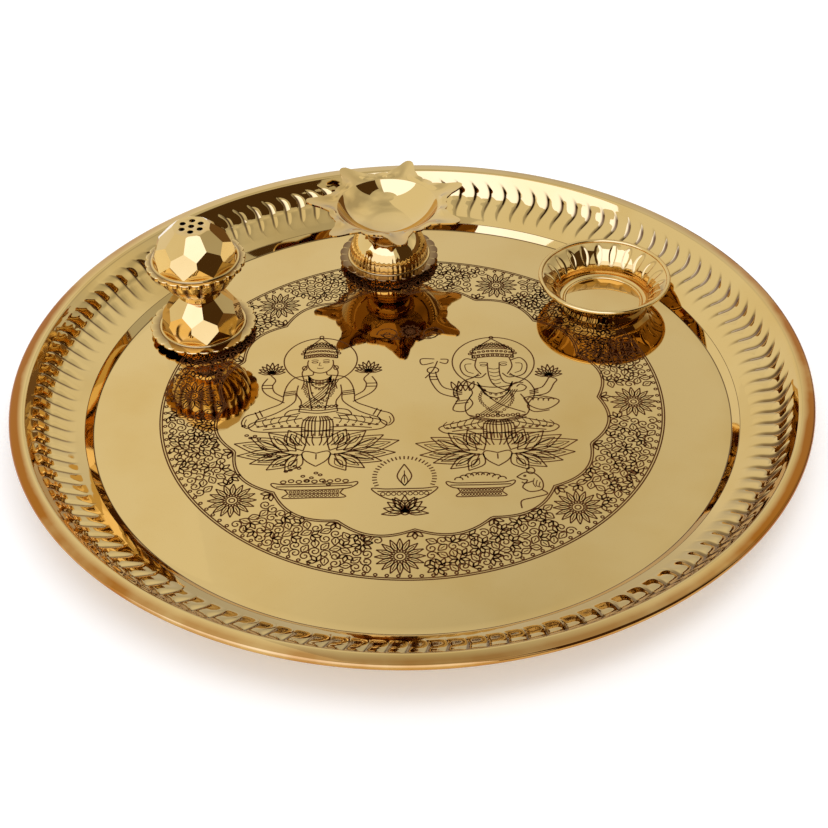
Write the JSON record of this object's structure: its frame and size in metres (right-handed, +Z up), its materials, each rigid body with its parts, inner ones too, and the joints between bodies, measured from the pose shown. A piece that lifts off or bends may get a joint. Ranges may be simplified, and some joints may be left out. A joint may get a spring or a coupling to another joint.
{
  "type": "puja thali",
  "caption": "Round brass ritual tray with an S-fluted wall and engraved floor, carrying a loose incense stand, a star-shaped oil lamp and a small powder bowl that lift off.",
  "frame": {"origin": "centre of the plate's underside, on the surface it rests on", "axes": "+Z up, out of the plate; +X to the right and +Y away from the viewer, towards the vessels"},
  "size_m": [0.3048, 0.3048, 0.0509],
  "materials": {
    "plate_brass": "polished, with fine circular polishing marks and engraved lines",
    "vessel_brass": "mirror polished, slightly tarnished in hollows",
    "fastener_brass": "plain turned"
  },
  "bodies": {
    "thali": {"thali_plate": "plate_brass"},
    "incense_stand": {"incense_base": "vessel_brass", "incense_cup": "vessel_brass", "incense_cap": "vessel_brass", "incense_screw": "fastener_brass", "incense_washer": "fastener_brass", "incense_nut": "fastener_brass"},
    "diya": {"diya_base": "vessel_brass", "diya_dish": "vessel_brass", "diya_stud": "fastener_brass", "diya_washer": "fastener_brass", "diya_nut": "fastener_brass"},
    "kumkum_bowl": {"kumkum_bowl": "vessel_brass"}
  },
  "joints": [
    {"name": "incense_stand_lift", "type": "slide", "parent": "thali", "child": "incense_stand", "axis": [0, 0, 1], "range_m": [0, 0.07]},
    {"name": "diya_lift", "type": "slide", "parent": "thali", "child": "diya", "axis": [0, 0, 1], "range_m": [0, 0.07]},
    {"name": "kumkum_bowl_lift", "type": "slide", "parent": "thali", "child": "kumkum_bowl", "axis": [0, 0, 1], "range_m": [0, 0.07]}
  ]
}
